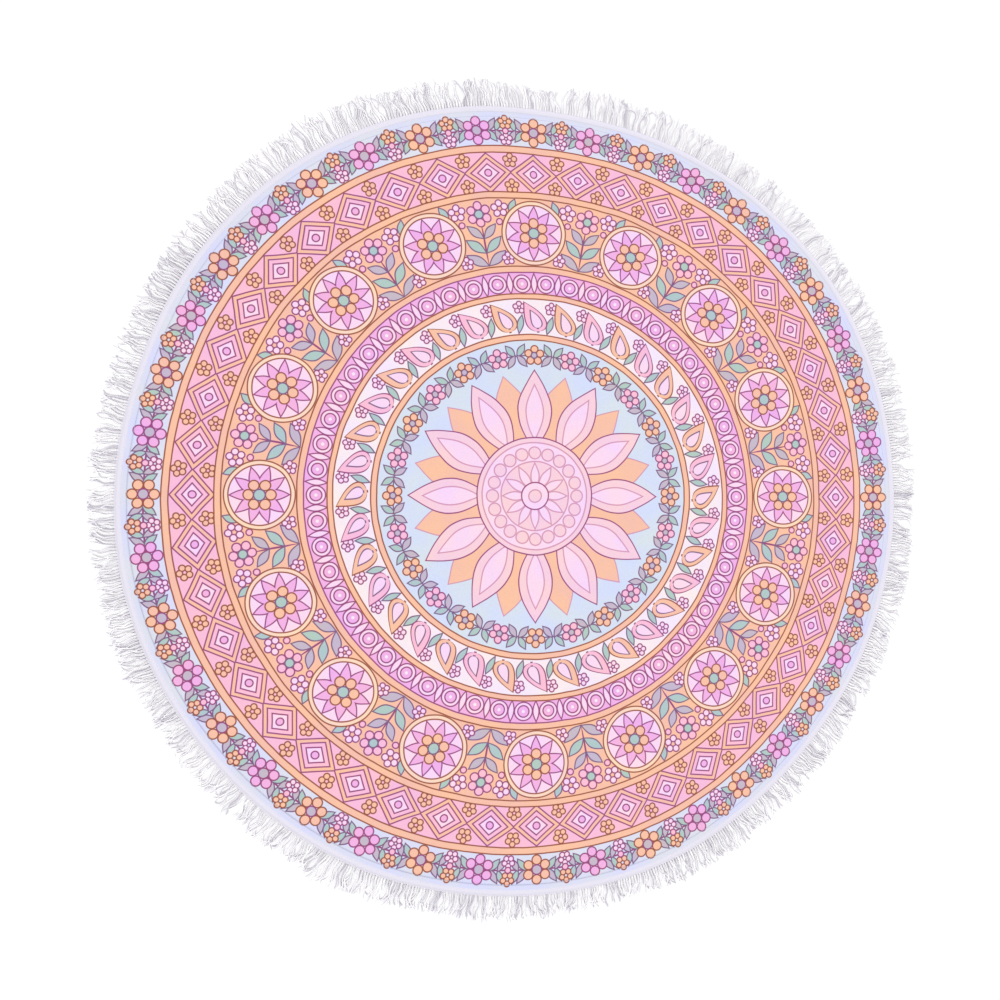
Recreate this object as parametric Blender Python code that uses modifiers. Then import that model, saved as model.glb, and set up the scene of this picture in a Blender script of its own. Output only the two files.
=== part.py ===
"""Round beach towel with a sewn-on fringe, lying flat on its back.

The towel is two pieces: a round cotton panel whose edge is turned into a narrow hem, and a
fringe trim, a heading tape with strands of yarn, which is sewn under the hem all the way
round. Metres, +Z up. The underside lies on z = 0 and the middle of the whole outline is at
the origin.
"""
import math
import random

import bmesh
import bpy

# The round panel
CLOTH_RADIUS = 0.750        # to the folded edge of the hem
CLOTH_THICKNESS = 0.0026
HEM_WIDTH = 0.012
HEM_THICKNESS = 0.0040      # top of the doubled edge above the surface it lies on
HEM_ROUNDING = 0.0009
CLOTH_STEPS = 120           # flats round the edge
CLOTH_RINGS = 5             # rings of faces across the panel's top and underside

# The fringe trim
TAPE_THICKNESS = 0.0012
TAPE_LAP = 0.008            # how far the tape runs in under the hem
TAPE_SHOWS = 0.012          # how much of the tape is seen outside the hem
STRAND_THICKNESS = 0.0040   # a lying bunch of strands, above the surface
STRAND_REACH = 0.044        # from the tape's edge to the tips, on average
BUNCHES = 144               # bunches of strands, the comb's teeth
BUNCH_FILL = 0.74           # share of the tape's edge that the bunches take
TIP_FILL = 0.52             # width of a bunch near its tip, as a share of its root
REACH_SPREAD = 0.004        # how much the bunches differ in reach
LEAN_SPREAD = 0.007         # how far a tip leans to one side
SEED = 12

GAP = 0.0003                # between touching pieces
SIDE_GAP = 0.0015           # round the tape's inner edge, where the flats of both pieces differ
MERGE = 0.00001

# Where the lying towel is out of round: the direction of each pull, how far it moves the
# edge outwards, and the angle to each side over which it fades away.
EDGE_PULLS = (
    # direction (deg), outwards (m), half width (deg)
    (36, 0.010, 34),
    (84, -0.005, 18),
    (125, 0.009, 42),
    (190, 0.005, 30),
    (270, -0.004, 30),
    (318, -0.010, 46),
)

# Where the strands lie longer or shorter than their average reach, in the same columns.
REACH_PULLS = (
    # direction (deg), outwards (m), half width (deg)
    (72, 0.011, 26),
    (90, -0.006, 8),
    (118, 0.010, 30),
    (215, -0.004, 24),
    (280, -0.007, 26),
    (296, 0.006, 8),
)


def pull_at(angle, pulls):
    """Sum of the pulls at an angle in radians: each is a raised cosine round its direction."""
    total = 0.0
    for direction, outwards, half_width in pulls:
        away = (math.degrees(angle) - direction + 180) % 360 - 180
        if abs(away) < half_width:
            total += outwards * 0.5 * (1 + math.cos(math.pi * away / half_width))
    return total


def on_circle(radius, angle):
    """Point of the plane at a radius and an angle in radians."""
    return radius * math.cos(angle), radius * math.sin(angle)


def new_material(name, colour, roughness):
    """Plain Principled BSDF of one colour."""
    material = bpy.data.materials.new(name)
    material.use_nodes = True
    shader = material.node_tree.nodes["Principled BSDF"]
    shader.inputs["Base Color"].default_value = (*colour, 1.0)
    shader.inputs["Roughness"].default_value = roughness
    shader.inputs["Metallic"].default_value = 0.0
    material.diffuse_color = (*colour, 1.0)
    return material


def turned(name, section, collection):
    """Object made by turning a section round Z.

    The section is a list of (radius, height). It runs outwards over the top, down the outer
    side and back underneath; a section that starts and ends off the axis is closed to a ring.
    """
    mesh = bpy.data.meshes.new(name)
    edges = [(i, i + 1) for i in range(len(section) - 1)]
    if section[0][0] > 0:
        edges.append((len(section) - 1, 0))
    mesh.from_pydata([(radius, 0, height) for radius, height in section], edges, [])
    turned_object = bpy.data.objects.new(name, mesh)
    collection.objects.link(turned_object)
    screw = turned_object.modifiers.new("turn", "SCREW")
    screw.axis = "Z"
    screw.steps = screw.render_steps = CLOTH_STEPS
    screw.use_merge_vertices = True
    screw.merge_threshold = MERGE
    return turned_object


def as_mesh(source, collection):
    """Replaces an object by the plain mesh that it evaluates to, with its doubles welded."""
    name = source.name
    evaluated = source.evaluated_get(bpy.context.evaluated_depsgraph_get())
    mesh = bpy.data.meshes.new_from_object(evaluated)
    result = bpy.data.objects.new(name, mesh)
    result.matrix_world = source.matrix_world
    bpy.data.objects.remove(source)
    result.name = mesh.name = name
    collection.objects.link(result)
    bm = bmesh.new()
    bm.from_mesh(mesh)
    bmesh.ops.remove_doubles(bm, verts=bm.verts, dist=MERGE)
    bm.to_mesh(mesh)
    bm.free()
    return result


def cloth_section():
    """Half section of the panel: flat, with a thicker rounded hem that clears the tape."""
    hem_start = CLOTH_RADIUS - HEM_WIDTH
    lap_start = CLOTH_RADIUS - TAPE_LAP - SIDE_GAP
    lap_height = TAPE_THICKNESS + GAP
    across = [i / CLOTH_RINGS for i in range(CLOTH_RINGS)]
    top = [(share * hem_start, CLOTH_THICKNESS) for share in across]
    hem = [
        (hem_start, CLOTH_THICKNESS),
        (hem_start + HEM_ROUNDING, HEM_THICKNESS),
        (CLOTH_RADIUS - HEM_ROUNDING, HEM_THICKNESS),
        (CLOTH_RADIUS, HEM_THICKNESS - HEM_ROUNDING),
        (CLOTH_RADIUS, lap_height),
    ]
    lap = [(lap_start, lap_height), (lap_start, 0)]
    underside = [(share * lap_start, 0) for share in reversed(across)]
    return top + hem + lap + underside


def tape_cutter_section():
    """Section of the ring that is cut from the comb, to leave its tape thin."""
    inner = CLOTH_RADIUS - TAPE_LAP - 2 * SIDE_GAP
    outer = CLOTH_RADIUS + TAPE_SHOWS
    above = 2 * STRAND_THICKNESS
    return [(outer, above), (outer, TAPE_THICKNESS), (inner, TAPE_THICKNESS), (inner, above)]


def comb_outline():
    """Outer outline of the comb: the tape's edge with one tapering tooth for each bunch."""
    dice = random.Random(SEED)
    root_radius = CLOTH_RADIUS + TAPE_SHOWS
    pitch = 2 * math.pi / BUNCHES
    half_root = 0.5 * pitch * BUNCH_FILL
    half_tip = half_root * TIP_FILL
    points = []
    for bunch in range(BUNCHES):
        middle = bunch * pitch
        reach = STRAND_REACH + pull_at(middle, REACH_PULLS)
        reach += dice.uniform(-REACH_SPREAD, REACH_SPREAD)
        lean = dice.uniform(-LEAN_SPREAD, LEAN_SPREAD) / CLOTH_RADIUS
        tip = root_radius + reach
        shoulder = root_radius + 0.62 * reach
        points += [
            on_circle(root_radius, middle - 0.5 * pitch),
            on_circle(root_radius, middle - half_root),
            on_circle(shoulder, middle + 0.6 * lean - 0.9 * half_root),
            on_circle(tip, middle + lean - half_tip),
            on_circle(tip - 0.06 * reach, middle + lean + half_tip),
            on_circle(shoulder, middle + 0.6 * lean + 0.9 * half_root),
            on_circle(root_radius, middle + half_root),
        ]
    return points


def flat_plate(name, outlines, thickness, collection):
    """Plate between closed outlines, from z = 0 up to its thickness."""
    curve = bpy.data.curves.new(name, "CURVE")
    curve.dimensions = "2D"
    curve.fill_mode = "BOTH"
    curve.extrude = 0.5 * thickness
    for outline in outlines:
        spline = curve.splines.new("POLY")
        spline.points.add(len(outline) - 1)
        for point, (x, y) in zip(spline.points, outline):
            point.co = (x, y, 0, 1)
        spline.use_cyclic_u = True
    plate = bpy.data.objects.new(name, curve)
    plate.location.z = 0.5 * thickness
    collection.objects.link(plate)
    return plate


def let_lie(piece):
    """Moves a flat round piece out of round, as the lying towel is; the middle stays still."""
    for vertex in piece.data.vertices:
        x, y, _ = vertex.co
        radius = math.hypot(x, y)
        if radius == 0:
            continue
        share = min(radius / CLOTH_RADIUS, 1.0) ** 3
        stretch = 1 + share * pull_at(math.atan2(y, x), EDGE_PULLS) / radius
        vertex.co.x *= stretch
        vertex.co.y *= stretch


def centre_outline(pieces):
    """Moves all the pieces together, so that the middle of their outline is at the origin."""
    corners = [vertex.co for piece in pieces for vertex in piece.data.vertices]
    for axis in (0, 1):
        middle = 0.5 * (min(c[axis] for c in corners) + max(c[axis] for c in corners))
        for corner in corners:
            corner[axis] -= middle


def make_cloth(collection):
    """The round panel with its hem, one solid."""
    cloth = as_mesh(turned("towel_cloth", cloth_section(), collection), collection)
    cloth.data.materials.append(new_material("printed cotton", (0.72, 0.79, 0.94), 0.9))
    return cloth


def make_fringe(collection, cutters):
    """The fringe trim, one comb: a thin tape under the hem, and the bunches outside it."""
    inner_radius = CLOTH_RADIUS - TAPE_LAP
    steps = [2 * math.pi * i / BUNCHES for i in range(BUNCHES)]
    inner_outline = [on_circle(inner_radius, angle) for angle in steps]
    plate = flat_plate("fringe", [comb_outline(), inner_outline], STRAND_THICKNESS, collection)
    bpy.context.view_layer.update()
    comb = as_mesh(plate, collection)
    comb.data.transform(comb.matrix_world)
    comb.matrix_world.identity()
    cutter = turned("tape_cutter", tape_cutter_section(), cutters)
    cutter.hide_render = True
    cutter.display_type = "WIRE"
    cut = comb.modifiers.new("thin tape", "BOOLEAN")
    cut.operation = "DIFFERENCE"
    cut.object = cutter
    bpy.context.view_layer.update()
    fringe = as_mesh(comb, collection)
    fringe.data.materials.clear()
    fringe.data.materials.append(new_material("white cotton yarn", (0.86, 0.85, 0.86), 0.95))
    return fringe


def main():
    """Builds the towel in a collection of its own."""
    for leftover in list(bpy.data.objects):
        bpy.data.objects.remove(leftover)
    towel = bpy.data.collections.new("round_beach_towel")
    cutters = bpy.data.collections.new("cutters")
    for collection in (towel, cutters):
        bpy.context.scene.collection.children.link(collection)
    pieces = [make_cloth(towel), make_fringe(towel, cutters)]
    for piece in pieces:
        let_lie(piece)
    centre_outline(pieces)
    for piece in pieces:
        piece.data.shade_flat()


main()
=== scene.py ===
# %% [markdown]
# # Round beach towel
# A round cotton towel lies spread out with its printed face up. It is two sewn pieces: the
# printed panel with a narrow hem, and a trim of white yarn strands on a woven tape, sewn
# under the hem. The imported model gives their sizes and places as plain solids. Each of them
# is remade here as a fine surface, worked out with numpy as whole arrays.

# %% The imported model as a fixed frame
import math

import bpy
import numpy as np
from mathutils import Matrix, Vector


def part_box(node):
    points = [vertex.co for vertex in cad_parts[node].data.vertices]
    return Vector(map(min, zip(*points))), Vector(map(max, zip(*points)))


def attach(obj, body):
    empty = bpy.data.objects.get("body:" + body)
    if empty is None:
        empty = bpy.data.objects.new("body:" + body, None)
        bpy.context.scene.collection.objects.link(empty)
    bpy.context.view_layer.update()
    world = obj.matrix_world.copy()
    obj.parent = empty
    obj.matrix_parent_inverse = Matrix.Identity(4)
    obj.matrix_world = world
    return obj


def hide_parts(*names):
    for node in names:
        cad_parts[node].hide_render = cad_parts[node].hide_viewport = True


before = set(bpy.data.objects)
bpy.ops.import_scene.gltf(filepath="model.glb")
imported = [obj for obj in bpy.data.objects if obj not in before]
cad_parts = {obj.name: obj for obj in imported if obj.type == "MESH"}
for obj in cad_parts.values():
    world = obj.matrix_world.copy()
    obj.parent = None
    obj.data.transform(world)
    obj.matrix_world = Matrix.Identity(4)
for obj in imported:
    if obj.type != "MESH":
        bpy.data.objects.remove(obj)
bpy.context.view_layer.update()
cloth_low, cloth_high = (np.array(corner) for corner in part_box("towel_cloth"))
fringe_low, fringe_high = (np.array(corner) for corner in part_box("fringe"))
print("cloth", np.round(cloth_high - cloth_low, 4), "fringe", np.round(fringe_high - fringe_low, 4))

# %% [markdown]
# ## Sizes of the real pieces
# A maker works from a few numbers: the cut's radius, the width of the hem, the width of the
# trim's tape and the length of its strands. Everything below is worked out from them.

# %% Driving sizes in metres
MM = 0.001
TAU = 2 * math.pi
CLOTH_RADIUS = 750 * MM
CLOTH_THICKNESS = 2.6 * MM
HEM_WIDTH = 12 * MM
HEM_THICKNESS = cloth_high[2] - cloth_low[2]
STITCH_RADIUS = CLOTH_RADIUS - 9.5 * MM
TAPE_THICKNESS = 1.2 * MM
TAPE_LAP = 8 * MM
TAPE_SHOWS = 12 * MM
TAPE_EDGE = CLOTH_RADIUS + TAPE_SHOWS
LOOP_PITCH = 5.5 * MM       # from one pair of strands to the next
LOOP_COUNT = round(TAU * TAPE_EDGE / LOOP_PITCH)
print("pairs of strands in the trim:", LOOP_COUNT)

# %% [markdown]
# ## How the towel lies
# No towel lies as a true circle. Its edge is drawn in or out by a few millimetres where it
# was last pulled, and here and there the edge stays a little off the ground. Both are short
# tables: a direction, an amount, and the angle over which it fades. One function carries any
# point of the flat cut to where it lies, so that the cloth, its stitches, the tape and the
# strands all stay together.

# %% From the flat cut to the lying towel
EDGE_PULLS = (
    # direction (deg), outwards (m), half width (deg)
    (36, 0.010, 34),
    (84, -0.005, 18),
    (125, 0.009, 42),
    (190, 0.005, 30),
    (270, -0.004, 30),
    (318, -0.010, 46),
)
EDGE_LIFTS = (
    # direction (deg), upwards (m), half width (deg)
    (14, 0.0022, 15),
    (58, 0.0030, 12),
    (103, 0.0018, 16),
    (147, 0.0034, 13),
    (199, 0.0020, 18),
    (246, 0.0030, 12),
    (291, 0.0024, 15),
    (334, 0.0030, 12),
)
LIFT_STARTS = 0.52      # share of the radius where the lifted stretches begin


def bumps(angle, rows):
    """Sum of the rows' raised cosines at an angle in radians: each is its amount in its own
    direction, and falls to nothing at its half width to either side."""
    total = np.zeros_like(angle)
    for direction, amount, half_width in rows:
        away = (np.degrees(angle) - direction + 180) % 360 - 180
        near = np.clip(away / half_width, -1, 1)
        total += amount * 0.5 * (1 + np.cos(np.pi * near))
    return total


def ease(value, low, high):
    """0 below low, 1 above high, and the smooth step 3t^2 - 2t^3 between them."""
    t = np.clip((value - low) / (high - low), 0, 1)
    return t * t * (3 - 2 * t)


def lay(radius, angle, height):
    """Carries flat places to the lying towel, as an array of points.

    A place moves outwards by the pulls, times the cube of its share of the radius, and up by
    the lifts, which start half way out and come back to the ground at the strands' tips."""
    share = np.minimum(radius / CLOTH_RADIUS, 1)
    out = radius + share**3 * bumps(angle, EDGE_PULLS)
    held = ease(share, LIFT_STARTS, 1) * (1 - ease(radius, TAPE_EDGE, TAPE_EDGE + 40 * MM))
    up = height + held * bumps(angle, EDGE_LIFTS)
    place = np.stack([out * np.cos(angle), out * np.sin(angle), up], axis=-1)
    return place + cloth_middle


cloth_middle = np.zeros(3)
edge_angles = np.linspace(0, TAU, 721)
edge = lay(np.full_like(edge_angles, CLOTH_RADIUS), edge_angles, 0 * edge_angles)
cloth_middle[:2] = ((cloth_low + cloth_high) / 2 - (edge.min(0) + edge.max(0)) / 2)[:2]
print("middle of the cut, from the origin:", np.round(cloth_middle, 4))

# %% [markdown]
# ## From arrays to meshes
# Every surface here is a grid of points, so one helper turns such a grid into quads. A grid
# that runs right round is joined to its own start, and a pole is a single point with a fan
# of triangles, so nothing is left open.

# %% Mesh helpers
def grid_faces(rows, columns):
    """Corner numbers of the quads of a grid whose columns run right round."""
    first = np.arange(rows * columns).reshape(rows, columns)
    across = np.roll(first, -1, axis=1)
    quads = np.stack([first[:-1], first[1:], across[1:], across[:-1]], axis=-1)
    return quads.reshape(-1, 4)


def new_piece(name, points, quads, triangles=(), maps=None, values=None, material_index=None):
    """A smooth mesh object from points and faces.

    maps are UV maps and values are numbers, both given for each point; material_index is
    given for each face, quads first."""
    mesh = bpy.data.meshes.new(name)
    triangles = np.reshape(np.asarray(triangles, dtype=int), (-1, 3))
    corners = np.concatenate([np.ravel(quads), np.ravel(triangles)]).astype(np.int32)
    sizes = np.concatenate([np.full(len(quads), 4), np.full(len(triangles), 3)])
    mesh.vertices.add(len(points))
    mesh.vertices.foreach_set("co", np.ravel(points).astype(np.float32))
    mesh.loops.add(len(corners))
    mesh.loops.foreach_set("vertex_index", corners)
    mesh.polygons.add(len(sizes))
    mesh.polygons.foreach_set("loop_start", np.cumsum(sizes) - sizes)
    if material_index is not None:
        mesh.polygons.foreach_set("material_index", material_index.astype(np.int32))
    mesh.update(calc_edges=True)
    mesh.shade_smooth()
    for map_name, places in (maps or {}).items():
        layer = mesh.uv_layers.new(name=map_name, do_init=False)
        layer.uv.foreach_set("vector", np.ravel(places[corners]).astype(np.float32))
    for value_name, numbers in (values or {}).items():
        layer = mesh.attributes.new(value_name, "FLOAT", "POINT")
        layer.data.foreach_set("value", np.ravel(numbers).astype(np.float32))
    mesh.validate()
    piece = bpy.data.objects.new(name, mesh)
    bpy.context.scene.collection.objects.link(piece)
    print(name, "points", len(points), "triangles", 2 * len(quads) + len(triangles))
    return piece


# %% [markdown]
# ## Nodes and colours
# A material is a small network. One function adds a node to it: it makes the node's choices
# first, and then fills its sockets in order, with a link where it is given another node and
# with a plain value otherwise. Colours are written as the hex values of a paint chart and
# turned to the linear numbers that the renderer adds up light with.

# %% Material helpers
def colour(code):
    """Linear RGBA of an sRGB hex colour such as #A0C0E0."""
    parts = [int(code[i : i + 2], 16) / 255 for i in (1, 3, 5)]
    return (*[p / 12.92 if p <= 0.04045 else ((p + 0.055) / 1.055) ** 2.4 for p in parts], 1)


def first_output(source):
    """The socket that a node gives its result from, or the socket itself."""
    if isinstance(source, bpy.types.Node):
        return next(socket for socket in source.outputs if socket.enabled)
    return source


def add(tree, kind, *inputs, named=None, **choices):
    """Adds a node of a kind, with its choices set and its inputs linked or filled.

    inputs go to the node's sockets in order, and None leaves one as it is; named goes to
    sockets by name."""
    node = tree.nodes.new("ShaderNode" + kind)
    for choice, setting in choices.items():
        setattr(node, choice, setting)
    sockets = [socket for socket in node.inputs if socket.enabled]
    pairs = list(zip(sockets, inputs)) + [(node.inputs[k], v) for k, v in (named or {}).items()]
    for socket, value in pairs:
        if isinstance(value, (bpy.types.Node, bpy.types.NodeSocket)):
            tree.links.new(first_output(value), socket)
        elif value is not None:
            socket.default_value = value
    return node


def new_finish(name):
    """A material for one finish: its node tree and its Principled shader."""
    finish = bpy.data.materials.new(name)
    finish.use_nodes = True
    return finish, finish.node_tree, finish.node_tree.nodes["Principled BSDF"]


def join(tree, source, shader, socket):
    """Links a node's result to one of the shader's sockets."""
    tree.links.new(first_output(source), shader.inputs[socket])


# %% [markdown]
# ## The printed panel
# The panel is one layer of short-pile cotton, 2.6 mm thick. At its edge the cloth is folded
# under itself and sewn down, which makes a hem that stands 1.4 mm higher, with a dip where
# the seam pulls it in. A turned section gives all of this: it runs from the middle over the
# top, round the folded edge and back underneath, and it is carried round the towel.

# %% The panel's section
HEM_RISE = 3 * MM           # width of the slope from the panel up to the hem
SEAM_DIP = 0.5 * MM
SEAM_HALF_WIDTH = 1.1 * MM
EDGE_ROUNDING = 1.1 * MM
LAP_HEIGHT = TAPE_THICKNESS + 0.3 * MM
LAP_START = CLOTH_RADIUS - TAPE_LAP - 1.5 * MM
AROUND = 420


def top_height(radius):
    """Height of the printed face: the panel, then a smooth step up to the hem, less a dip
    along the seam that falls off as a bell curve."""
    hem_start = CLOTH_RADIUS - HEM_WIDTH
    step = ease(radius, hem_start, hem_start + HEM_RISE)
    dip = SEAM_DIP * np.exp(-(((radius - STITCH_RADIUS) / SEAM_HALF_WIDTH) ** 2))
    return CLOTH_THICKNESS + (HEM_THICKNESS - CLOTH_THICKNESS) * step - dip


def panel_section():
    """Radii, heights and the number of printed rows of the section, without its poles."""
    open_rows = np.linspace(8 * MM, CLOTH_RADIUS - HEM_WIDTH - 4 * MM, 92)
    hem_rows = np.linspace(CLOTH_RADIUS - HEM_WIDTH - 2 * MM, CLOTH_RADIUS - EDGE_ROUNDING, 22)
    printed = np.concatenate([open_rows, hem_rows])
    turn = np.linspace(0, np.pi / 2, 6)[1:]
    rim = CLOTH_RADIUS - EDGE_ROUNDING + EDGE_ROUNDING * np.sin(turn)
    rim_height = HEM_THICKNESS - EDGE_ROUNDING + EDGE_ROUNDING * np.cos(turn)
    under = np.array([CLOTH_RADIUS - 0.3 * MM, LAP_START + 1 * MM, LAP_START + 0.2 * MM, LAP_START])
    under_height = np.array([LAP_HEIGHT + 0.4 * MM, LAP_HEIGHT, LAP_HEIGHT * 0.6, 0.2 * MM])
    back = np.linspace(LAP_START - 1 * MM, 10 * MM, 30)
    radii = np.concatenate([printed, rim, under, back])
    heights = np.concatenate([top_height(printed), rim_height, under_height, 0 * back])
    return radii, heights, len(printed) + len(turn)


section_radii, section_heights, printed_rows = panel_section()
print("rows in the section:", len(section_radii), "of them printed:", printed_rows)

# %% [markdown]
# The pile is never perfectly even. A few crossing waves, each a quarter of a millimetre high
# and a hand's width long, take the flatness out of the printed face. Their directions and
# lengths are written down, so they are the same every time.

# %% The panel
UNEVENNESS = (
    # heading (deg), length (m), height (m), phase (turns)
    (12, 0.230, 0.00028, 0.10),
    (67, 0.170, 0.00024, 0.45),
    (108, 0.270, 0.00030, 0.80),
    (151, 0.120, 0.00016, 0.30),
)


def unevenness(x, y):
    """Sum of plane waves over the cloth, one for each row: height times the sine of the
    place along the heading over the wave's length."""
    total = np.zeros_like(x)
    for heading, length, height, phase in UNEVENNESS:
        along = x * math.cos(math.radians(heading)) + y * math.sin(math.radians(heading))
        total += height * np.sin(TAU * (along / length + phase))
    return total


def make_panel():
    """Turns the section round the towel and closes both faces at the middle."""
    angles = np.linspace(0, TAU, AROUND, endpoint=False)
    radius, angle = np.meshgrid(section_radii, angles, indexing="ij")
    height = np.repeat(section_heights[:, None], AROUND, axis=1)
    flat = np.stack([radius * np.cos(angle), radius * np.sin(angle)], axis=-1)
    inside_hem = 1 - ease(radius, CLOTH_RADIUS - 2 * HEM_WIDTH, CLOTH_RADIUS - HEM_WIDTH)
    height[:printed_rows] += (inside_hem * unevenness(flat[..., 0], flat[..., 1]))[:printed_rows]
    points = lay(radius, angle, height).reshape(-1, 3)
    poles = cloth_middle + np.array([[0, 0, height[0].mean()], [0, 0, 0]])
    first, last = len(points), len(points) + 1
    ring = np.arange(AROUND)
    after = np.roll(ring, -1)
    end = len(points) - AROUND
    top_fan = np.stack([np.full(AROUND, first), ring, after], axis=-1)
    back_fan = np.stack([np.full(AROUND, last), end + after, end + ring], axis=-1)
    quads = grid_faces(len(section_radii), AROUND)
    is_back = np.repeat(np.arange(len(section_radii) - 1) >= printed_rows, AROUND)
    panel = new_piece(
        "printed_panel",
        np.concatenate([points, poles]),
        quads,
        np.concatenate([top_fan, back_fan]),
        maps={"flat_cut": np.concatenate([flat.reshape(-1, 2), np.zeros((2, 2))])},
        material_index=np.concatenate([is_back, np.zeros(AROUND), np.ones(AROUND)]),
    )
    return panel


panel = make_panel()

# %% [markdown]
# ## The seam
# A row of lockstitches holds the folded edge and, below it, the trim's tape. Each stitch
# shows as a short arched length of thread that dives into the pile at both ends. All of
# them are one mesh: a ring of places round the hem, times the few rings of one stitch.

# %% The stitches
STITCH_PITCH = 3.4 * MM
STITCH_LENGTH = 2.9 * MM
THREAD_RADIUS = 0.38 * MM
STITCH_COUNT = round(TAU * STITCH_RADIUS / STITCH_PITCH)
STITCH_RINGS = 4
THREAD_SIDES = 5


def tubes(centres, sideways, radii, sides):
    """Closed tubes round many centre lines at once.

    centres is tubes x rings x 3, sideways the unit direction to one side of each ring, and
    radii the tube's radius at each ring. A ring's points are its centre plus the radius
    times cosine sideways and sine square to both; each end closes on a point. Returns the
    points, the quads, the triangles and the number of points in one tube."""
    count, rings, _ = centres.shape
    ahead = np.gradient(centres, axis=1)
    ahead /= np.linalg.norm(ahead, axis=-1, keepdims=True)
    upward = np.cross(ahead, sideways)
    turn = np.linspace(0, TAU, sides, endpoint=False)
    ring = (
        sideways[:, :, None] * np.cos(turn)[:, None] + upward[:, :, None] * np.sin(turn)[:, None]
    )
    skin = centres[:, :, None] + ring * radii[..., None, None]
    ends = centres[:, [0, -1]] + ahead[:, [0, -1]] * (radii[:, [0, -1]] * [-0.6, 0.6])[..., None]
    points = np.concatenate([skin.reshape(count, -1, 3), ends], axis=1)
    each = points.shape[1]
    start = each * np.arange(count)[:, None, None]
    quads = (grid_faces(rings, sides)[:, ::-1][None] + start).reshape(-1, 4)
    one = np.arange(sides)
    nxt = np.roll(one, -1)
    tail = (rings - 1) * sides
    near = np.stack([np.full(sides, each - 2), nxt, one], axis=-1)
    far = np.stack([np.full(sides, each - 1), tail + one, tail + nxt], axis=-1)
    triangles = (np.concatenate([near, far])[None] + start).reshape(-1, 3)
    return points.reshape(-1, 3), quads, triangles, each


def make_stitches():
    """The seam: each stitch is a half sine high, from one pile level back down to it."""
    middle = np.linspace(0, TAU, STITCH_COUNT, endpoint=False)[:, None]
    along = np.linspace(-0.5, 0.5, STITCH_RINGS)[None]
    angle = middle + along * STITCH_LENGTH / STITCH_RADIUS
    arch = 0.45 * MM * np.cos(np.pi * along)
    level = top_height(np.array(STITCH_RADIUS))
    height = np.broadcast_to(level - 0.1 * MM + arch, angle.shape)
    centres = lay(np.full_like(angle, STITCH_RADIUS), angle, height)
    outward = np.stack([np.cos(angle), np.sin(angle), 0 * angle], axis=-1)
    radii = np.full(angle.shape, THREAD_RADIUS)
    points, quads, triangles, _ = tubes(centres, outward, radii, THREAD_SIDES)
    return new_piece("hem_stitches", points, quads, triangles)


stitches = make_stitches()

# %% [markdown]
# ## The heading tape
# The strands of a bought fringe are held by a narrow woven tape. Its inner part is hidden
# under the hem and about 12 mm of it shows. Its outer edge is a chain of small loops, one
# for each pair of strands. Again a section is carried round, and the loops are a wave
# along the way. The tape has a map of its own, along it and across it in metres, for its
# weave.

# %% The tape
LOOP_RADIUS = 1.3 * MM
TAPE_UNDERSIDE = 0.05 * MM
FACE_ROWS = 6
LOOP_ROWS = 6
TAPE_AROUND = 4 * LOOP_COUNT


def make_tape():
    """A flat ring: over the top outwards, round the chain of loops at the outer edge, and
    back along the underside. The loops' wave moves the edge in and out and up and down."""
    inner = CLOTH_RADIUS - TAPE_LAP
    face = np.linspace(inner, TAPE_EDGE - 2 * LOOP_RADIUS, FACE_ROWS)
    turn = np.linspace(0, np.pi, LOOP_ROWS)
    loop = TAPE_EDGE - LOOP_RADIUS + LOOP_RADIUS * np.sin(turn)
    loop_height = LOOP_RADIUS + TAPE_UNDERSIDE + LOOP_RADIUS * np.cos(turn)
    radii = np.concatenate([face, loop, [inner]])
    heights = np.concatenate([0 * face + TAPE_THICKNESS, loop_height, [TAPE_UNDERSIDE]])
    angles = np.linspace(0, TAU, TAPE_AROUND, endpoint=False)
    radius, angle = np.meshgrid(radii, angles, indexing="ij")
    height = np.repeat(heights[:, None], TAPE_AROUND, axis=1)
    beads = 0.5 + 0.5 * np.cos(angle * LOOP_COUNT)
    is_loop = np.zeros_like(radius)
    is_loop[FACE_ROWS : FACE_ROWS + LOOP_ROWS] = 1
    radius = radius + is_loop * (0.9 * MM * beads - 0.3 * MM)
    height = TAPE_UNDERSIDE + (height - TAPE_UNDERSIDE) * (1 - 0.35 * is_loop * (1 - beads))
    points = lay(radius, angle, height).reshape(-1, 3)
    weave = np.stack([angle * TAPE_EDGE, radius - inner], axis=-1).reshape(-1, 2)
    quads = grid_faces(len(radii), TAPE_AROUND)
    closing = (len(radii) - 1) * TAPE_AROUND + np.arange(TAPE_AROUND)
    start = np.arange(TAPE_AROUND)
    seam = np.stack([closing, start, np.roll(start, -1), np.roll(closing, -1)], axis=-1)
    return new_piece("heading_tape", points, np.concatenate([quads, seam]), maps={"weave": weave})


tape = make_tape()

# %% [markdown]
# ## The strands
# Two ends of soft cotton yarn lie side by side from each loop, cut to about 5 cm, with a
# narrow gap to the next pair. A yarn has a fixed length and bends easily, so its shape is best
# given by its heading: the direction in which it runs, which wanders along its length. Adding
# up small steps in that direction gives the path, and every strand then keeps its length
# however much it waves. Neighbours cling together, so much of the heading is shared: it
# drifts slowly from one stretch of the rim to the next, each pair adds a lean and a wave of
# its own, and only a little differs between the two ends of a pair.

# %% The strands' paths
STRAND_LENGTH = 48 * MM
YARN_RADIUS = 0.95 * MM
STRAND_RINGS = 11
YARN_SIDES = 5
PAIR = np.array([-0.9, 0.9]) * MM     # the two ends, to the side of their loop
DRIFT_KNOTS = 170           # stretches of the rim that lean their own way
REACH_PULLS = (
    # direction (deg), longer (m), half width (deg)
    (72, 0.011, 26),
    (90, -0.006, 8),
    (118, 0.010, 30),
    (215, -0.004, 24),
    (280, -0.007, 26),
    (296, 0.006, 8),
)
chance = np.random.default_rng(41)


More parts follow.
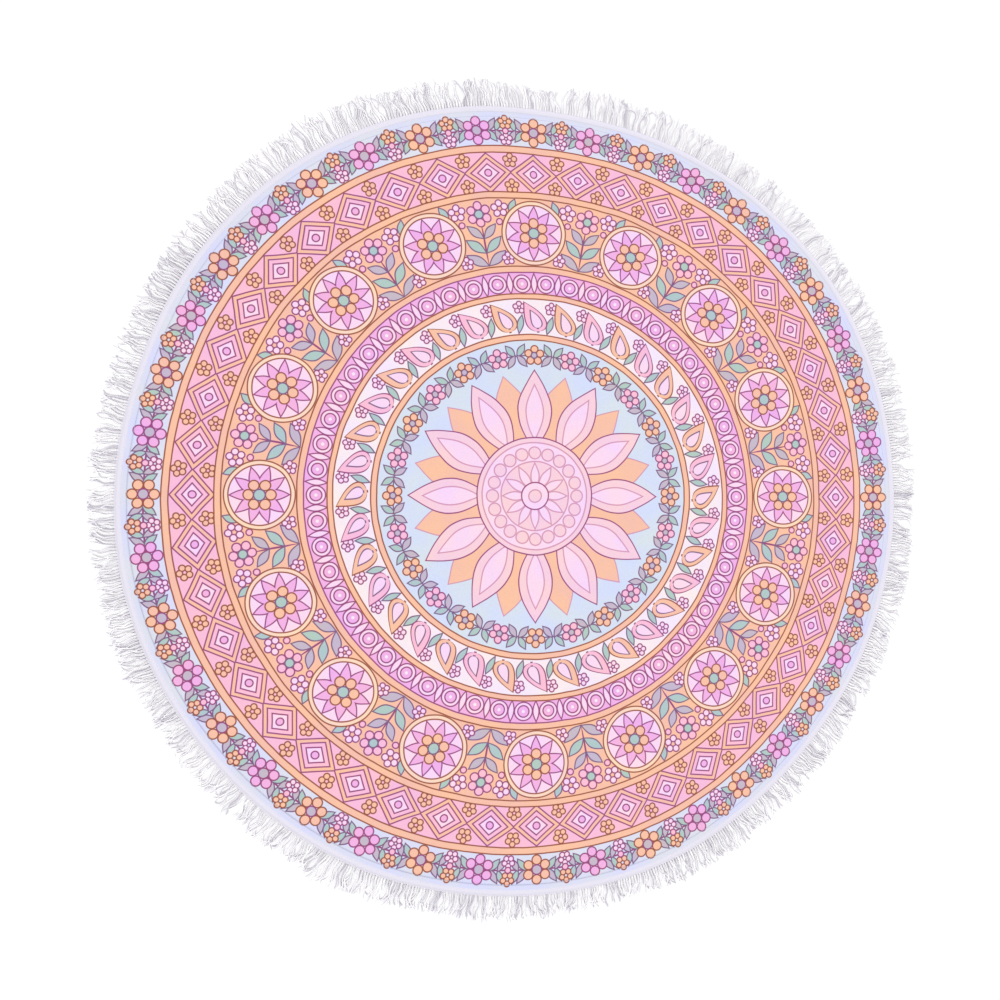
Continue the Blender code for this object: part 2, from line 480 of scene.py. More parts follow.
def drift(loop):
    """A slowly changing random value for each loop number: normal draws at even knots round
    the rim, with straight lines between them."""
    draws = chance.normal(0, 1, DRIFT_KNOTS)
    place = loop * DRIFT_KNOTS / LOOP_COUNT
    return np.interp(place, np.arange(DRIFT_KNOTS + 1), np.append(draws, draws[0]))[:, None]


def strand_paths():
    """Middle lines of all the strands, strands x rings x 3, and the loop of each.

    A strand's heading from the straight outward line is a shared lean and a little of its
    own, plus a wave that grows outwards, plus a curl near the tip. One row of its own draws
    is spare: own[3] is drawn and not used."""
    loop = np.repeat(np.arange(LOOP_COUNT), len(PAIR))
    aside = np.tile(PAIR, LOOP_COUNT)
    root = loop * TAU / LOOP_COUNT
    share = np.linspace(0, 1, STRAND_RINGS)[None]
    own = chance.normal(0, 1, (7, len(loop), 1))
    pair = chance.normal(0, 1, (4, LOOP_COUNT, 1))[:, loop]
    lean = 0.15 * drift(loop) + 0.11 * pair[0] + 0.05 * own[0]
    cycles = 1.3 + 0.2 * pair[1] + 0.05 * own[1]
    start = 0.3 * drift(loop) + 0.12 * pair[2] + 0.03 * own[2]
    wave = (0.30 + 0.10 * pair[3]) * np.sin(TAU * (cycles * share + start))
    curl = 0.5 * own[4] * share**3
    heading = lean * ease(share, 0, 0.35) + wave * ease(share, 0.05, 0.4) + curl
    length = STRAND_LENGTH * (1 + 0.06 * drift(loop) + 0.05 * own[5])
    length += bumps(root, REACH_PULLS)[:, None]
    step = length / (STRAND_RINGS - 1)
    out = np.cumsum(step * np.cos(heading), axis=1) - step
    side = np.cumsum(step * np.sin(heading), axis=1) + aside[:, None]
    radius = TAPE_EDGE - 1.2 * MM + out
    angle = root[:, None] + side / radius
    hump = np.abs(own[6]) * 1.5 * MM * np.sin(np.pi * np.clip(share * 1.1, 0, 1))
    height = YARN_RADIUS + 0.3 * MM + hump
    return lay(radius, angle, height), share, loop


paths, path_share, strand_loop = strand_paths()
print("strand paths:", paths.shape, "reach", np.round(np.abs(paths[..., :2]).max(), 3))

# %% [markdown]
# Each strand is a closed tube round its path, a little thick and thin along the way, with a
# fluffier cut end. The strands are grouped in four quarters of the trim, so that each mesh
# stays light.

# %% The strands
FRINGE_QUARTERS = ("fringe_right", "fringe_back", "fringe_left", "fringe_front")


def make_strands(name, chosen):
    """The chosen strands as one mesh. The yarn's radius is its size, times a slow wave along
    it, times a swelling before the end and a narrowing at it."""
    middle = paths[chosen]
    ahead = np.gradient(middle, axis=1)
    ahead /= np.linalg.norm(ahead, axis=-1, keepdims=True)
    sideways = np.cross(ahead, [0.0, 0.0, 1.0])
    sideways /= np.linalg.norm(sideways, axis=-1, keepdims=True)
    start = chance.uniform(0, 1, (len(middle), 1))
    slub = 1 + 0.10 * np.sin(TAU * (2.3 * path_share + start))
    end = 1 + 0.12 * ease(path_share, 0.7, 0.93) - 0.45 * ease(path_share, 0.93, 1)
    points, quads, triangles, each = tubes(middle, sideways, YARN_RADIUS * slub * end, YARN_SIDES)
    rings = np.repeat(path_share[0] * STRAND_LENGTH, YARN_SIDES)
    along = np.concatenate([rings, [0, STRAND_LENGTH]])
    across = np.tile(np.arange(YARN_SIDES) / YARN_SIDES, STRAND_RINGS)
    across = np.concatenate([across, [0.5, 0.5]]) * TAU * YARN_RADIUS
    one_map = np.stack([along, across], axis=-1)
    # each strand's value sets its tone in the yarn finish: partly its own tone, partly painted
    # shade for strands in shadow
    shade = chance.normal(0, 1, (len(middle), 1))
    return new_piece(
        name,
        points,
        quads,
        triangles,
        maps={"along_yarn": np.tile(one_map, (len(middle), 1))},
        values={"strand_tone_and_shade": np.repeat(shade, each)},
    )


quarter = strand_loop * 4 // LOOP_COUNT
strands = [make_strands(name, quarter == i) for i, name in enumerate(FRINGE_QUARTERS)]

# %% [markdown]
# ## Finish: reactive print on cotton velour
# Beach towels are printed with reactive dye on sheared pile. The dye sinks into the cotton,
# so the print is matt and its edges are a little soft. The print is a round ornament of
# rings. It is drawn from distances, as a compass and ruler would: each motif is a formula
# that is positive inside its shape, in metres, and each ring of motifs is one motif in a
# circle that is folded into equal sectors. The cloth's own map, in metres on the flat cut,
# carries the print, so it stretches as the cloth does.

# %% Colours of the print
PERIWINKLE, SKY, MILK = "#D3D6EA", "#CDD7E9", "#EDE0EB"
PEACH, CREAM = "#EDBAA2", "#F0D0BC"
PINK, ROSE, ORCHID, LILAC = "#EFB7D0", "#EDC8D6", "#E8ACDD", "#EFD0E9"
SAGE, GREY = "#A9C1BF", "#BDB1C3"
MAUVE_LINE, BROWN_LINE, GREY_LINE = "#93487A", "#94523F", "#7A5C80"
SOFT_LINE = "#CB93AE"
PRINT_SOFTNESS = 0.9 * MM
LINE_WIDTH = 2.5 * MM
PETAL_FILL = 0.87           # size of a blossom's petals, as a share of what would just touch


# %% The motifs of the print
def sector(tree, polar, count, turn, mirrored):
    """Folds the circle into equal sectors: a point with x outwards and y to the side, in
    metres from the sector's middle line. Mirrored sectors have their two halves alike."""
    radius, angle = polar
    share = add(tree, "Math", angle, count / TAU, 0.5 - turn, operation="MULTIPLY_ADD")
    inside = add(tree, "Math", share, operation="FRACT")
    turned = add(tree, "Math", inside, TAU / count, -math.pi / count, operation="MULTIPLY_ADD")
    if mirrored:
        turned = add(tree, "Math", turned, operation="ABSOLUTE")
    cosine = add(tree, "Math", turned, operation="COSINE")
    x = add(tree, "Math", radius, cosine, operation="MULTIPLY")
    sine = add(tree, "Math", turned, operation="SINE")
    y = add(tree, "Math", radius, sine, operation="MULTIPLY")
    return add(tree, "CombineXYZ", x, y)


def fold_round(tree, point, count):
    """The point in equal sectors round its own middle."""
    parts = add(tree, "SeparateXYZ", point)
    away = add(tree, "VectorMath", point, operation="LENGTH").outputs["Value"]
    angle = add(tree, "Math", parts.outputs["Y"], parts.outputs["X"], operation="ARCTAN2")
    return sector(tree, (away, angle), count, 0, False)


def own_place(tree, point, motif):
    """The point as seen from the motif: from where it starts, turned to its heading."""
    start = (motif["out"] * MM, motif["side"] * MM, 0)
    heading = (0, 0, math.radians(motif["heading"]))
    return add(tree, "Mapping", point, start, heading, vector_type="TEXTURE")


def disc(tree, point, motif):
    """Half the width less the distance from the middle."""
    away = add(tree, "VectorMath", point, operation="LENGTH")
    return add(tree, "Math", motif["width"] * MM / 2, away.outputs["Value"], operation="SUBTRACT")


def diamond(tree, point, motif):
    """One less the shares of the half length and half width, brought back to metres."""
    half_length, half_width = motif["length"] * MM / 2, motif["width"] * MM / 2
    size = half_length * half_width / math.hypot(half_length, half_width)
    spread = add(tree, "VectorMath", point, operation="ABSOLUTE")
    shares = (size / half_length, size / half_width, 0)
    used = add(tree, "VectorMath", spread, shares, operation="DOT_PRODUCT")
    return add(tree, "Math", size, used.outputs["Value"], operation="SUBTRACT")


def leaf(tree, point, motif):
    """Half the width times a half sine along the length, less the distance to the side."""
    length, half_width = motif["length"] * MM, motif["width"] * MM / 2
    parts = add(tree, "SeparateXYZ", point)
    lengths, turns = (-0.5 * length, 1.5 * length), (-math.pi / 2, 1.5 * math.pi)
    along = add(tree, "MapRange", parts.outputs["X"], *lengths, *turns)
    swell = add(tree, "Math", along, operation="SINE")
    side = add(tree, "Math", parts.outputs["Y"], operation="ABSOLUTE")
    half = add(tree, "Math", swell, half_width, operation="MULTIPLY")
    return add(tree, "Math", half, side, operation="SUBTRACT")


def drop(tree, point, motif):
    """A teardrop with its round end at the start: the half width goes with the root of the
    share of the length, times what is left of it. Its middle line bends with the square of
    the share, which makes a paisley."""
    length, half_width = motif["length"] * MM, motif["width"] * MM / 2
    fullest = math.sqrt(1 / 3) * 2 / 3
    parts = add(tree, "SeparateXYZ", point)
    share = add(tree, "Math", parts.outputs["X"], 1 / length, operation="MULTIPLY")
    root = add(tree, "Math", share, operation="SQRT")
    rest = add(tree, "Math", 1.0, share, operation="SUBTRACT")
    swell = add(tree, "Math", root, rest, operation="MULTIPLY")
    square = add(tree, "Math", share, share, operation="MULTIPLY")
    bend = -motif["bend"] * MM
    side = add(tree, "Math", square, bend, parts.outputs["Y"], operation="MULTIPLY_ADD")
    side = add(tree, "Math", side, operation="ABSOLUTE")
    half = add(tree, "Math", swell, half_width / fullest, operation="MULTIPLY")
    inside = add(tree, "Math", half, side, operation="SUBTRACT")
    return add(tree, "Math", inside, parts.outputs["X"], operation="MINIMUM")


def petals(tree, point, motif):
    """Round petals beside each other: the circle is folded into as many sectors as "length"
    says, and each holds a disc that reaches the rim and nearly touches its neighbours."""
    radius = motif["width"] * MM / 2
    half_turn = math.sin(math.pi / motif["length"])
    petal = PETAL_FILL * radius * half_turn / (1 + half_turn)
    folded = fold_round(tree, point, motif["length"])
    away = add(tree, "VectorMath", folded, (radius - petal, 0, 0), operation="DISTANCE")
    return add(tree, "Math", petal, away.outputs["Value"], operation="SUBTRACT")


def star(tree, point, motif):
    """Pointed petals round the middle: one leaf in each of "length" sectors, as long as the
    star's radius and as wide as its bend says."""
    folded = fold_round(tree, point, motif["length"])
    return leaf(tree, folded, {"length": motif["width"] / 2, "width": motif["bend"]})


def band(tree, radius, motif):
    """Half the width less the distance from the ring's middle line."""
    away = add(tree, "Math", radius, motif["out"] * MM, operation="SUBTRACT")
    away = add(tree, "Math", away, operation="ABSOLUTE")
    return add(tree, "Math", motif["width"] * MM / 2, away, operation="SUBTRACT")


def ground(tree, radius, motif):
    """The whole disc inside a radius."""
    return add(tree, "Math", motif["out"] * MM, radius, operation="SUBTRACT")


SHAPES = {
    "disc": disc,
    "diamond": diamond,
    "leaf": leaf,
    "drop": drop,
    "petals": petals,
    "star": star,
}
RINGS = {"band": band, "ground": ground}


def paint(tree, picture, shape, fill, line):
    """Lays a motif over the picture: its outline first, then its fill, each with an edge
    that is as soft as the dye's."""
    sharp = 1 / PRINT_SOFTNESS
    if line:
        outer = 0.5 + LINE_WIDTH * sharp
        cover = add(tree, "Math", shape, sharp, outer, operation="MULTIPLY_ADD", use_clamp=True)
        picture = add(tree, "Mix", cover, picture, colour(line), data_type="RGBA")
    cover = add(tree, "Math", shape, sharp, 0.5, operation="MULTIPLY_ADD", use_clamp=True)
    return add(tree, "Mix", cover, picture, colour(fill), data_type="RGBA")


# %% [markdown]
# The ornament itself is a table, from the rim to the middle, because later rows lie over
# earlier ones. The rows are a traditional round layout: a garland of leaves and blossoms,
# a chain of nested diamonds, sixteen medallions with leaf sprays between them, a string of
# pearls, a ring of paisleys, a wreath and a rosette. Places and sizes are millimetres on the
# flat cut, and count says how many times the motif goes round. For petals and stars, length
# is the number of petals.

# %% The ornament
COLUMNS = (
    "shape", "count", "turn", "mirrored", "out", "side", "heading", "length", "width", "bend"
)
ORNAMENT = (
    # the garland on periwinkle
    (("ground", 0, 0, False, 760, 0, 0, 0, 0, 0), PERIWINKLE, None),
    (("band", 0, 0, False, 713, 0, 0, 0, 3.4, 0), MAUVE_LINE, None),
    (("leaf", 40, 0, True, 713, 22, 34, 27, 10, 0), GREY, GREY_LINE),
    (("leaf", 40, 0, True, 713, 22, 146, 25, 10, 0), SAGE, GREY_LINE),
    (("leaf", 40, 0, True, 713, 37, 24, 25, 9, 0), SAGE, GREY_LINE),
    (("leaf", 40, 0, True, 713, 37, 156, 23, 9, 0), GREY, GREY_LINE),
    (("petals", 40, 0.5, False, 730, 0, 0, 5, 25, 0), PEACH, BROWN_LINE),
    (("petals", 40, 0.5, False, 697, 0, 0, 5, 23, 0), LILAC, MAUVE_LINE),
    (("petals", 20, 0, False, 713, 0, 0, 6, 53, 0), PEACH, BROWN_LINE),
    (("petals", 20, 0.5, False, 713, 0, 0, 6, 53, 0), ORCHID, MAUVE_LINE),
    (("disc", 40, 0, False, 713, 0, 0, 0, 16, 0), GREY, MAUVE_LINE),
    (("disc", 40, 0.5, False, 713, 0, 0, 0, 9, 0), PINK, MAUVE_LINE),
    # the chain of nested diamonds on pink
    (("ground", 0, 0, False, 682, 0, 0, 0, 0, 0), PEACH, BROWN_LINE),
    (("ground", 0, 0, False, 669, 0, 0, 0, 0, 0), PINK, BROWN_LINE),
    (("petals", 44, 0.5, False, 655, 0, 0, 5, 26, 0), PEACH, BROWN_LINE),
    (("petals", 44, 0.5, False, 605, 0, 0, 5, 25, 0), PEACH, BROWN_LINE),
    (("diamond", 44, 0, False, 630, 0, 0, 74, 88, 0), PEACH, MAUVE_LINE),
    (("diamond", 44, 0, False, 630, 0, 0, 54, 64, 0), PINK, MAUVE_LINE),
    (("diamond", 44, 0, False, 630, 0, 0, 32, 38, 0), LILAC, MAUVE_LINE),
    (("disc", 44, 0, False, 630, 0, 0, 0, 11, 0), ORCHID, MAUVE_LINE),
    # leaf sprays on peach
    (("ground", 0, 0, False, 592, 0, 0, 0, 0, 0), PEACH, BROWN_LINE),
    (("ground", 0, 0, False, 580, 0, 0, 0, 0, 0), PEACH, BROWN_LINE),
    (("leaf", 16, 0.5, False, 444, 0, 0, 100, 3.6, 0), MAUVE_LINE, None),
    (("leaf", 16, 0.5, True, 452, 2, 56, 42, 15, 0), GREY, GREY_LINE),
    (("leaf", 16, 0.5, True, 478, 2, 50, 40, 15, 0), SAGE, GREY_LINE),
    (("leaf", 16, 0.5, True, 506, 2, 46, 34, 13, 0), GREY, GREY_LINE),
    (("leaf", 16, 0.5, True, 550, 60, 32, 27, 11, 0), SAGE, GREY_LINE),
    (("petals", 16, 0.5, True, 461, 41, 0, 5, 23, 0), LILAC, MAUVE_LINE),
    (("disc", 16, 0.5, True, 534, 37, 0, 0, 9, 0), PINK, MAUVE_LINE),
    (("petals", 16, 0.5, True, 559, 42, 0, 5, 31, 0), LILAC, MAUVE_LINE),
    (("petals", 16, 0.5, False, 552, 0, 0, 6, 46, 0), PINK, MAUVE_LINE),
    (("disc", 16, 0.5, False, 552, 0, 0, 0, 14, 0), SAGE, GREY_LINE),
    # the sixteen medallions
    (("disc", 16, 0, False, 513, 0, 0, 0, 124, 0), CREAM, BROWN_LINE),
    (("disc", 16, 0, False, 513, 0, 0, 0, 108, 0), LILAC, BROWN_LINE),
    (("star", 16, 0, False, 513, 0, 0, 10, 102, 17), ORCHID, MAUVE_LINE),
    (("petals", 16, 0, False, 513, 0, 0, 6, 56, 0), PEACH, BROWN_LINE),
    (("disc", 16, 0, False, 513, 0, 0, 0, 18, 0), SAGE, GREY_LINE),
    # the string of pearls on orchid
    (("ground", 0, 0, False, 446, 0, 0, 0, 0, 0), PEACH, BROWN_LINE),
    (("ground", 0, 0, False, 434, 0, 0, 0, 0, 0), ORCHID, MAUVE_LINE),
    (("leaf", 54, 0.5, False, 396, 0, 0, 34, 9, 0), LILAC, MAUVE_LINE),
    (("disc", 54, 0, False, 413, 0, 0, 0, 32, 0), LILAC, MAUVE_LINE),
    (("disc", 54, 0, False, 413, 0, 0, 0, 19, 0), ORCHID, MAUVE_LINE),
    (("disc", 54, 0, False, 413, 0, 0, 0, 6, 0), MILK, None),
    # the ring of paisleys on milk white
    (("ground", 0, 0, False, 392, 0, 0, 0, 0, 0), PEACH, BROWN_LINE),
    (("ground", 0, 0, False, 382, 0, 0, 0, 0, 0), MILK, BROWN_LINE),
    (("leaf", 36, 0.5, False, 318, 2, -14, 32, 10, 0), SAGE, GREY_LINE),
    (("petals", 36, 0.5, False, 366, -2, 0, 5, 22, 0), LILAC, MAUVE_LINE),
    (("drop", 18, 0, False, 320, -8, 6, 58, 38, 22), PEACH, BROWN_LINE),
    (("drop", 18, 0.5, False, 320, -8, 6, 58, 38, 22), PINK, MAUVE_LINE),
    (("drop", 36, 0, False, 327, -7.5, 6, 34, 18, 11), LILAC, GREY_LINE),
    # the wreath on sky blue
    (("ground", 0, 0, False, 312, 0, 0, 0, 0, 0), PEACH, BROWN_LINE),
    (("ground", 0, 0, False, 301, 0, 0, 0, 0, 0), SKY, BROWN_LINE),
    (("band", 0, 0, False, 272, 0, 0, 0, 2.6, 0), GREY_LINE, None),
    (("leaf", 24, 0.5, True, 272, 3, 36, 25, 10, 0), SAGE, GREY_LINE),
    (("leaf", 24, 0.5, True, 272, 3, 144, 25, 10, 0), GREY, GREY_LINE),
    (("petals", 12, 0, False, 272, 0, 0, 5, 36, 0), PEACH, BROWN_LINE),
    (("petals", 12, 0.5, False, 272, 0, 0, 5, 36, 0), PINK, MAUVE_LINE),
    (("disc", 24, 0, False, 272, 0, 0, 0, 9, 0), GREY, GREY_LINE),
    # the rosette
    (("leaf", 12, 0.5, False, 96, 0, 0, 140, 62, 0), PEACH, SOFT_LINE),
    (("leaf", 12, 0, False, 88, 0, 0, 154, 64, 0), ROSE, MAUVE_LINE),
    (("leaf", 12, 0, False, 110, 0, 0, 104, 32, 0), LILAC, SOFT_LINE),
    (("ground", 0, 0, False, 112, 0, 0, 0, 0, 0), ROSE, MAUVE_LINE),
    (("ground", 0, 0, False, 102, 0, 0, 0, 0, 0), LILAC, SOFT_LINE),
    (("disc", 20, 0, False, 83, 0, 0, 0, 21, 0), ROSE, SOFT_LINE),
    (("ground", 0, 0, False, 65, 0, 0, 0, 0, 0), ROSE, SOFT_LINE),
    (("leaf", 12, 0, False, 16, 0, 0, 45, 14, 0), LILAC, SOFT_LINE),
    (("ground", 0, 0, False, 25, 0, 0, 0, 0, 0), LILAC, MAUVE_LINE),
    (("ground", 0, 0, False, 11, 0, 0, 0, 0, 0), ROSE, SOFT_LINE),
)


def draw_ornament(tree, place):
    """The ornament's colour at a place of the flat cut: every row of the table in turn."""
    parts = add(tree, "SeparateXYZ", place)
    radius = add(tree, "VectorMath", place, operation="LENGTH").outputs["Value"]
    angle = add(tree, "Math", parts.outputs["Y"], parts.outputs["X"], operation="ARCTAN2")
    sectors = {}
    picture = None
    for row, fill, line in ORNAMENT:
        motif = dict(zip(COLUMNS, row))
        if motif["shape"] in RINGS:
            shape = RINGS[motif["shape"]](tree, radius, motif)
        else:
            fold = (motif["count"], motif["turn"], motif["mirrored"])
            if fold not in sectors:
                sectors[fold] = sector(tree, (radius, angle), *fold)
            local = own_place(tree, sectors[fold], motif)
            shape = SHAPES[motif["shape"]](tree, local, motif)
        picture = paint(tree, picture, shape, fill, line)
    return picture


# %% [markdown]
# Over the print lies what the cloth adds: the line wanders by half a millimetre where the
# screen or the pile moved, the dye takes a little unevenly, and the pile's tips break the
# surface into grains of about 2 mm, drawn as coarse as they need to be to show. The grains'
# colour follows their height: partly the pile's own tone, partly painted shade where the pile is
# low.

# %% Printed velour
LINE_WANDER = 1.1 * MM
PILE_GRAIN = 2.0 * MM
PILE_DEPTH = 0.5 * MM
BLOTCH_SIZE = 70 * MM
WARM_DYE = (1.03, 1.02, 0.93, 1)    # what the print is multiplied by, where it took the dye warm
COOL_DYE = (0.98, 0.97, 1.06, 1)    # and where it took it cool


def velour_finish():
    """Matt printed cotton pile: the ornament, a mottled dye, and a fine bump whose grains also tint
    the colour, partly as the pile's tone and partly as painted shade in its low places.
    """
    finish, tree, shader = new_finish("printed_cotton_velour")
    place = add(tree, "UVMap", uv_map="flat_cut")
    slow = {"Scale": 1 / BLOTCH_SIZE, "Detail": 2.0}
    wander = add(tree, "TexNoise", place, named=slow)
    centred = add(
        tree, "VectorMath", wander.outputs["Color"], (0.5, 0.5, 0.5), operation="SUBTRACT"
    )
    shift = add(tree, "VectorMath", centred, named={"Scale": 4 * LINE_WANDER}, operation="SCALE")
    moved = add(tree, "VectorMath", place, shift)
    flat = add(tree, "VectorMath", moved, (1, 1, 0), operation="MULTIPLY")
    picture = draw_ornament(tree, flat)
    body = add(tree, "TexCoord").outputs["Object"]
    blotch = add(tree, "TexNoise", body, named=slow)
    fine = {"Scale": 1 / PILE_GRAIN, "Detail": 3.0, "Roughness": 0.6}
    grain = add(tree, "TexNoise", body, named=fine)
    share = add(tree, "MapRange", blotch.outputs[0], 0.35, 0.65, 0.0, 1.0)
    dye = add(tree, "Mix", share, WARM_DYE, COOL_DYE, data_type="RGBA")
    tinted = add(tree, "VectorMath", picture, dye, operation="MULTIPLY")
    # partly painted shade: the colour is scaled down where the pile grain is low and up where it is
    # high
    grain_tone_and_shade = add(tree, "MapRange", grain.outputs[0], 0.3, 0.7, 0.95, 1.04)
    dyed = add(tree, "VectorMath", tinted, named={"Scale": grain_tone_and_shade}, operation="SCALE")
    raised = {"Height": grain.outputs[0], "Distance": PILE_DEPTH, "Strength": 0.5}
    bump = add(tree, "Bump", named=raised)
    join(tree, dyed, shader, "Base Color")
    join(tree, bump, shader, "Normal")
    shader.inputs["Roughness"].default_value = 0.92
    shader.inputs["Sheen Weight"].default_value = 0.12
    shader.inputs["Sheen Roughness"].default_value = 0.5
    shader.inputs["Specular IOR Level"].default_value = 0.25
    print("nodes in the print:", len(tree.nodes))
    return finish


velour = velour_finish()

# %% [markdown]
# ## Finish: terry loops
# The back of a printed towel is left as uncut loops, in rows, white with a breath of the
# ground's colour. Rows of rounded cells, 1.9 mm apart, stand for the loops, with painted shade
# in the darker gaps between them.

# %% White terry
LOOP_SPACING = 1.9 * MM


def terry_finish():
    """Undyed terry: pale cells raised as a bump, in a mesh of gaps painted darker as painted shade.
    """
    finish, tree, shader = new_finish("white_cotton_terry")
    body = add(tree, "TexCoord").outputs["Object"]
    cells = add(tree, "TexVoronoi", body, named={"Scale": 1 / LOOP_SPACING, "Randomness": 0.6})
    blotch = add(tree, "TexNoise", body, named={"Scale": 1 / (60 * MM), "Detail": 2.0})
    loop_gap_and_shade = add(tree, "MapRange", cells.outputs["Distance"], 0.1, 0.7, 0.0, 1.0)
    whites = colour("#E9EDF8"), colour("#F5F4F6")
    base = add(tree, "Mix", blotch.outputs[0], *whites, data_type="RGBA")
    # painted shade: the gaps between the loops are mixed towards a darker grey-blue
    shaded = add(tree, "Mix", loop_gap_and_shade, base, colour("#CFD3E2"), data_type="RGBA")
    height = add(tree, "Math", 1.0, loop_gap_and_shade, operation="SUBTRACT")
    bump = add(tree, "Bump", named={"Height": height, "Distance": 0.8 * MM, "Strength": 0.8})
    join(tree, shaded, shader, "Base Color")
    join(tree, bump, shader, "Normal")
    shader.inputs["Roughness"].default_value = 0.95
    shader.inputs["Sheen Weight"].default_value = 0.15
    return finish


terry = terry_finish()

# %% [markdown]
# ## Finishes of the trim
# The tape is a plain woven cotton with ribs along it and a thread every millimetre across,
# with painted shade, a faint grey, where the weave is low.
# The strands are soft yarn: near white, a little different from strand to strand, partly in
# their own tone and partly as painted shade for strands lying in shadow, with fine slanting
# grooves where the fibres wind round it, painted a little darker in them as painted shade.

# %% Tape, thread and yarn
RIB_PITCH = 1.7 * MM
THREAD_PITCH = 1.1 * MM
YARN_GROOVE = 1.5 * MM
# the darkest strands stand partly for strands lying in shadow: painted shade
DULLEST, BRIGHTEST = -1.9, 0.3      # strand_tone_and_shade at and beyond the two ends of the tones


def tape_finish():
    """Bleached woven tape: ribs along it times threads across it, with painted shade, a faint grey,
    where the weave is low.
    """
    finish, tree, shader = new_finish("bleached_cotton_tape")
    parts = add(tree, "SeparateXYZ", add(tree, "UVMap", uv_map="weave"))
    thread_turn = add(tree, "Math", parts.outputs["X"], TAU / THREAD_PITCH, operation="MULTIPLY")
    rib_turn = add(tree, "Math", parts.outputs["Y"], TAU / RIB_PITCH, operation="MULTIPLY")
    across = add(tree, "Math", thread_turn, operation="SINE")
    along = add(tree, "Math", rib_turn, operation="SINE")
    both = add(tree, "Math", across, along)
    height = add(tree, "Math", both, 0.25, 0.5, operation="MULTIPLY_ADD")
    # painted shade: the weave's low places are mixed towards the greyer tone
    tone = add(tree, "Mix", height, colour("#D9D5E3"), colour("#E9E6F0"), data_type="RGBA")
    bump = add(tree, "Bump", named={"Height": height, "Distance": 0.25 * MM, "Strength": 0.6})
    join(tree, tone, shader, "Base Color")
    join(tree, bump, shader, "Normal")
    shader.inputs["Roughness"].default_value = 0.9
    return finish


def thread_finish():
    """Dyed sewing cotton, a little deeper than the ground it is sewn on."""
    finish, tree, shader = new_finish("dyed_cotton_thread")
    body = add(tree, "TexCoord").outputs["Object"]
    twist = add(tree, "TexNoise", body, named={"Scale": 1 / (0.8 * MM)})
    blues = colour("#B9BFD9"), colour("#CCD1E6")
    tone = add(tree, "Mix", twist.outputs[0], *blues, data_type="RGBA")
    join(tree, tone, shader, "Base Color")
    shader.inputs["Roughness"].default_value = 0.7
    return finish


def yarn_finish():
    """Bleached soft yarn: one tone for each strand, partly its own and partly painted shade for
    strands in shadow, and grooves that slant along its map, painted darker in their hollows as
    painted shade.
    """
    finish, tree, shader = new_finish("bleached_cotton_yarn")
    place = add(tree, "UVMap", uv_map="along_yarn")
    parts = add(tree, "SeparateXYZ", place)
    slant = add(tree, "Math", parts.outputs["X"], parts.outputs["Y"])
    turns = add(tree, "Math", slant, TAU / YARN_GROOVE, operation="MULTIPLY")
    groove = add(tree, "Math", turns, operation="SINE")
    body = add(tree, "TexCoord").outputs["Object"]
    fluff = add(tree, "TexNoise", body, named={"Scale": 1 / (1.6 * MM), "Detail": 3.0})
    height = add(tree, "Math", groove, 0.25, fluff.outputs[0], operation="MULTIPLY_ADD")
    # painted shade: whole strands are darker or lighter, partly their own tone and partly standing
    # in for strands in shadow
    strand = add(tree, "Attribute", attribute_name="strand_tone_and_shade").outputs["Fac"]
    share = add(tree, "MapRange", strand, DULLEST, BRIGHTEST, 0.0, 1.0)
    tone = add(tree, "Mix", share, colour("#CFC9D6"), colour("#FEFCFF"), data_type="RGBA")
    # painted shade: the colour is a little darker in the grooves and low fluff of the yarn
    groove_shade = add(tree, "MapRange", height, 0.1, 0.9, 0.95, 1.02)
    shaded = add(tree, "VectorMath", tone, named={"Scale": groove_shade}, operation="SCALE")
    bump = add(tree, "Bump", named={"Height": height, "Distance": 0.2 * MM, "Strength": 0.5})
    join(tree, shaded, shader, "Base Color")
    join(tree, bump, shader, "Normal")
    shader.inputs["Roughness"].default_value = 0.95
    shader.inputs["Sheen Weight"].default_value = 0.2
    return finish


for finish in (velour, terry):
    panel.data.materials.append(finish)
stitches.data.materials.append(thread_finish())
tape.data.materials.append(tape_finish())
yarn = yarn_finish()
for piece in strands:
    piece.data.materials.append(yarn)

# %% [markdown]
# ## What belongs to what
# The towel has no joints, so every piece rides on the one body. The panel stands for the
# plain disc and the trim's pieces for the plain comb.

# %% Riding and replacing
trim = [tape, *strands]
for piece in (panel, stitches, *trim):
    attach(piece, "root")
for piece in trim:
    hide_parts("fringe")
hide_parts("towel_cloth")

# %% [markdown]
# ## Studio
# A towel this size is shot from a stand above it, in a white room. The light is bright enough
# for the plain floor to come out pure white, and a broad low lamp at the near left, as even
# as daylight, gives the strands and the hem their small shadows.

# %% Floor, light and colour
FLOOR_SIZE = 14.0
FLOOR_GAP = 0.2 * MM
LAMP_HEADING, LAMP_HEIGHT = math.radians(225), math.radians(52)
LAMP_SOFTNESS = math.radians(24)
LAMP_POWER = 1.36
ROOM_STRENGTH = 0.80


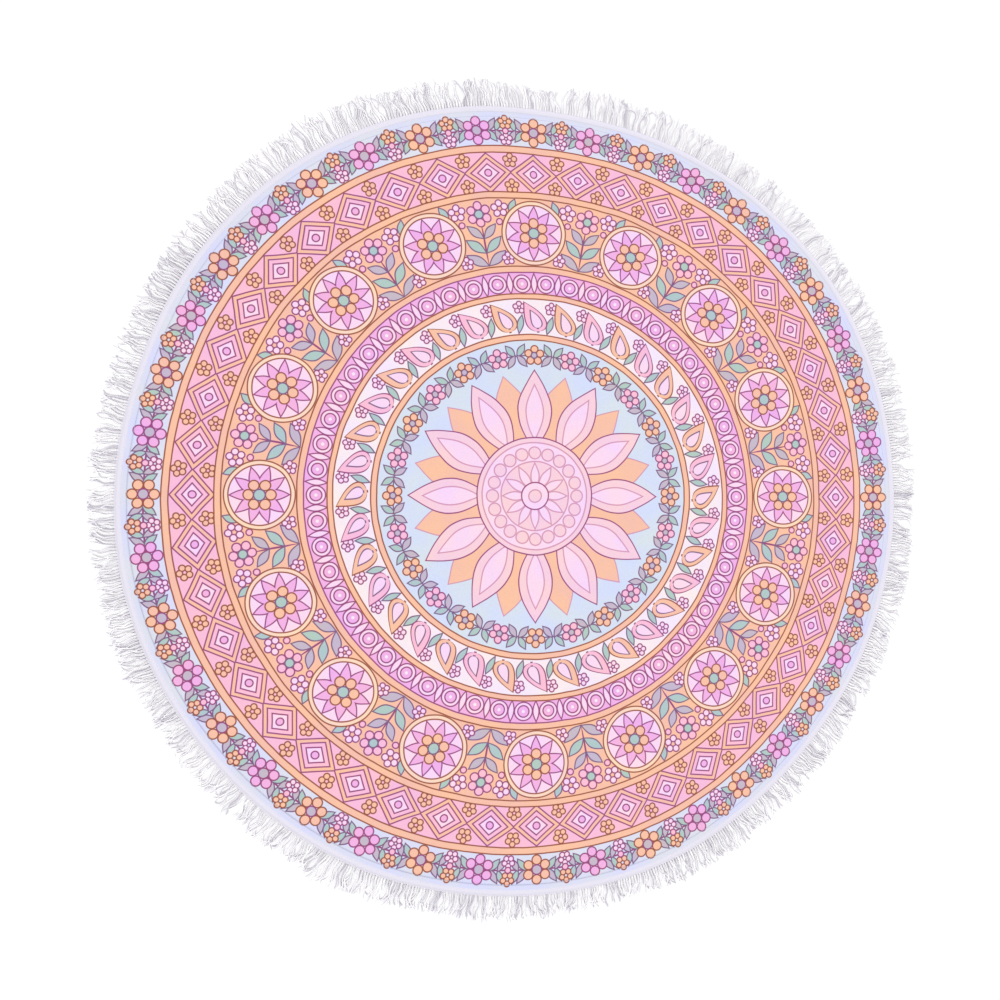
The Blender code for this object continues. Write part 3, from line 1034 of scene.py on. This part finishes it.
def make_floor():
    """A plain white sheet just under the towel."""
    half = FLOOR_SIZE / 2
    corners = np.array([[-half, -half], [half, -half], [half, half], [-half, half]])
    points = np.column_stack([corners, np.full(4, -FLOOR_GAP)])
    floor = new_piece("studio_floor", points, np.array([[0, 1, 2, 3]]))
    finish, _, shader = new_finish("white_studio_floor")
    shader.inputs["Base Color"].default_value = colour("#F4F4F5")
    shader.inputs["Roughness"].default_value = 0.95
    floor.data.materials.append(finish)


def make_lamp(name, heading, height, softness, power):
    """An even lamp from a compass heading and a height above the floor, both angles."""
    light = bpy.data.lights.new(name, "SUN")
    light.angle, light.energy = softness, power
    lamp = bpy.data.objects.new(name, light)
    level = math.cos(height)
    source = Vector((level * math.cos(heading), level * math.sin(heading), math.sin(height)))
    lamp.location = 4 * source
    lamp.rotation_euler = (-source).to_track_quat("-Z", "Y").to_euler()
    bpy.context.scene.collection.objects.link(lamp)


make_floor()
make_lamp("even_key", LAMP_HEADING, LAMP_HEIGHT, LAMP_SOFTNESS, LAMP_POWER)
room = bpy.data.worlds.new("white_room")
room.use_nodes = True
room_light = room.node_tree.nodes["Background"]
room_light.inputs["Color"].default_value = colour("#FFFFFF")
room_light.inputs["Strength"].default_value = ROOM_STRENGTH
bpy.context.scene.world = room
bpy.context.scene.view_settings.view_transform = "Standard"

# %% [markdown]
# ## Camera
# The camera stands about 1.7 m from the towel and leans 10 degrees off the vertical, from
# the left side and slightly below, so that side comes nearer and looks larger. A small
# turn about one line across the towel gives that, from straight above.

# %% Camera
CAMERA_AWAY = 1.677
CAMERA_LEAN = math.radians(10.0)
CAMERA_SIDE = math.radians(12.2)    # direction that leans away from the camera
CAMERA_AIM = Vector((-0.0680, -0.0080, 0))     # from the middle of the cut
LENS, SENSOR = 31.5, 36.0

lens = bpy.data.cameras.new("stand_camera")
lens.lens, lens.sensor_width = LENS, SENSOR
camera = bpy.data.objects.new("stand_camera", lens)
hinge = Vector((-math.sin(CAMERA_SIDE), math.cos(CAMERA_SIDE), 0))
leaned = Matrix.Rotation(-CAMERA_LEAN, 4, hinge)
aim = Vector(cloth_middle) + CAMERA_AIM
camera.matrix_world = Matrix.Translation(aim + leaned @ Vector((0, 0, CAMERA_AWAY))) @ leaned
bpy.context.scene.collection.objects.link(camera)
bpy.context.scene.camera = camera
print("camera at", [round(x, 3) for x in camera.location])
